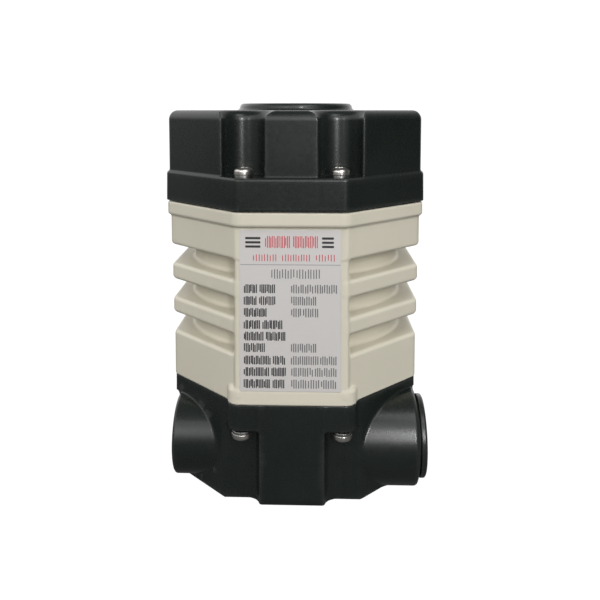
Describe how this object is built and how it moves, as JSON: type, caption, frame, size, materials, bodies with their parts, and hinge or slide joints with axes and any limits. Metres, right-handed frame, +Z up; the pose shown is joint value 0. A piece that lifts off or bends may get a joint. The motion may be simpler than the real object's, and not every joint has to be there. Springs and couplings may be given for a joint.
{
  "type": "motorized valve actuator",
  "caption": "Octagonal electric quarter-turn valve actuator with finned body, conduit entries, position window and a square drive under an F05 bolting face.",
  "frame": {"origin": "centre of the valve mounting face at the foot, on the output axis", "axes": "+Z up along the output axis towards the position window, -Y towards the nameplate, +X towards the plugged conduit boss"},
  "size_m": [0.0888, 0.0888, 0.1276],
  "materials": {
    "black_cast": "satin black cast enamel",
    "beige_cast": "satin beige powder coat",
    "nickel": "bright nickel plate",
    "washer_steel": "zinc plated spring steel",
    "plate_foil": "brushed printed foil",
    "clear_window": "clear",
    "seal_rubber": "matt",
    "dial_red": "satin moulded",
    "shaft_steel": "ground",
    "black_steel": "black oxide",
    "sinter_steel": "sintered",
    "bronze": "sintered bronze",
    "zinc_plate": "zinc plated",
    "gear_brass": "machined",
    "gear_nylon": "natural nylon",
    "magnet": "ferrite",
    "bobbin": "moulded",
    "copper": "enamelled copper wire",
    "cap_white": "moulded",
    "heater_gold": "gold anodised",
    "deck_green": "glass-epoxy laminate",
    "cam_red": "moulded",
    "switch_black": "moulded",
    "terminal_green": "moulded",
    "wire_red": "sleeving"
  },
  "bodies": {
    "housing": {"base_housing": "black_cast", "body_housing": "beige_cast", "top_cover": "black_cast", "base_gasket": "seal_rubber", "cover_gasket": "seal_rubber", "cover_screws": "nickel", "cover_lock_washers": "washer_steel", "base_screws": "nickel", "base_lock_washers": "washer_steel", "nameplate": "plate_foil", "indicator_window": "clear_window", "window_seal": "seal_rubber", "window_clamp_ring": "black_cast", "shaft_seal": "seal_rubber", "lower_bush": "bronze", "upper_bush": "bronze", "lower_gear_plate": "zinc_plate", "upper_gear_plate": "zinc_plate", "gear_pillars": "zinc_plate", "plate_screws": "nickel", "gear_spindle": "shaft_steel", "thrust_washers": "bronze", "motor_can": "zinc_plate", "motor_flange": "zinc_plate", "stator_bobbin": "bobbin", "stator_winding": "copper", "motor_screws": "nickel", "run_capacitor": "cap_white", "capacitor_clip": "zinc_plate", "space_heater": "heater_gold", "deck_standoffs": "zinc_plate", "switch_deck": "deck_green", "limit_switches": "switch_black", "terminal_block": "terminal_green", "terminal_screws": "nickel", "wiring_harness": "wire_red"},
    "output_drive": {"output_shaft": "shaft_steel", "output_gear": "sinter_steel", "cam_sleeve": "gear_brass", "limit_cams": "cam_red", "cam_set_screws": "shaft_steel", "indicator_dial": "dial_red", "dial_screw": "nickel"},
    "gear_cluster_4": {"pinion_4": "sinter_steel", "wheel_4": "gear_brass"},
    "gear_cluster_3": {"pinion_3": "sinter_steel", "wheel_3": "gear_brass"},
    "gear_cluster_2": {"pinion_2": "sinter_steel", "wheel_2": "gear_nylon"},
    "gear_cluster_1": {"pinion_1": "sinter_steel", "wheel_1": "gear_nylon"},
    "motor_rotor": {"motor_pinion": "gear_brass", "rotor_shaft": "shaft_steel", "rotor_magnet": "magnet"},
    "hand_override": {"override_spindle": "black_steel", "override_pinion": "sinter_steel"},
    "open_lever": {"open_switch_lever": "washer_steel"},
    "close_lever": {"close_switch_lever": "washer_steel"},
    "plug": {"conduit_plug": "black_cast", "plug_seal": "seal_rubber"}
  },
  "joints": [
    {"name": "motor_turn", "type": "hinge", "parent": "housing", "child": "motor_rotor", "pos_m": [0, 0.018, 0.075], "axis": [0, 0, 1], "range_deg": [0, 33644]},
    {"name": "cluster_1_turn", "type": "hinge", "parent": "housing", "child": "gear_cluster_1", "pos_m": [0, 0, 0.06], "axis": [0, 0, 1], "range_deg": [-9307, 0]},
    {"name": "cluster_2_turn", "type": "hinge", "parent": "housing", "child": "gear_cluster_2", "pos_m": [0, -0.018, 0.057], "axis": [0, 0, 1], "range_deg": [0, 2575]},
    {"name": "cluster_3_turn", "type": "hinge", "parent": "housing", "child": "gear_cluster_3", "pos_m": [0, 0, 0.052], "axis": [0, 0, 1], "range_deg": [-645, 0]},
    {"name": "cluster_4_turn", "type": "hinge", "parent": "housing", "child": "gear_cluster_4", "pos_m": [0, -0.018, 0.046], "axis": [0, 0, 1], "range_deg": [0, 235]},
    {"name": "output_turn", "type": "hinge", "parent": "housing", "child": "output_drive", "pos_m": [0, 0, 0.02], "axis": [0, 0, -1], "range_deg": [0, 90]},
    {"name": "override_turn", "type": "hinge", "parent": "housing", "child": "hand_override", "pos_m": [0, -0.0357, 0.03], "axis": [0, 0, 1], "range_deg": [-10083, 0]},
    {"name": "open_lever_press", "type": "hinge", "parent": "housing", "child": "open_lever", "pos_m": [0.01215, 0.009, 0.0994], "axis": [0, 0, 1], "range_deg": [0, 6]},
    {"name": "close_lever_press", "type": "hinge", "parent": "housing", "child": "close_lever", "pos_m": [-0.01215, 0.009, 0.106], "axis": [0, 0, -1], "range_deg": [0, 6]},
    {"name": "plug_unscrew", "type": "slide", "parent": "housing", "child": "plug", "axis": [1, 0, 0], "range_m": [0, 0.014]}
  ],
  "couplings": [
    {"joint": "cluster_1_turn", "follows": "motor_turn", "ratio": -0.2766},
    {"joint": "cluster_2_turn", "follows": "motor_turn", "ratio": 0.076505},
    {"joint": "cluster_3_turn", "follows": "motor_turn", "ratio": -0.019126},
    {"joint": "cluster_4_turn", "follows": "motor_turn", "ratio": 0.006955},
    {"joint": "output_turn", "follows": "motor_turn", "ratio": 0.002675},
    {"joint": "override_turn", "follows": "motor_turn", "ratio": -0.29965}
  ]
}
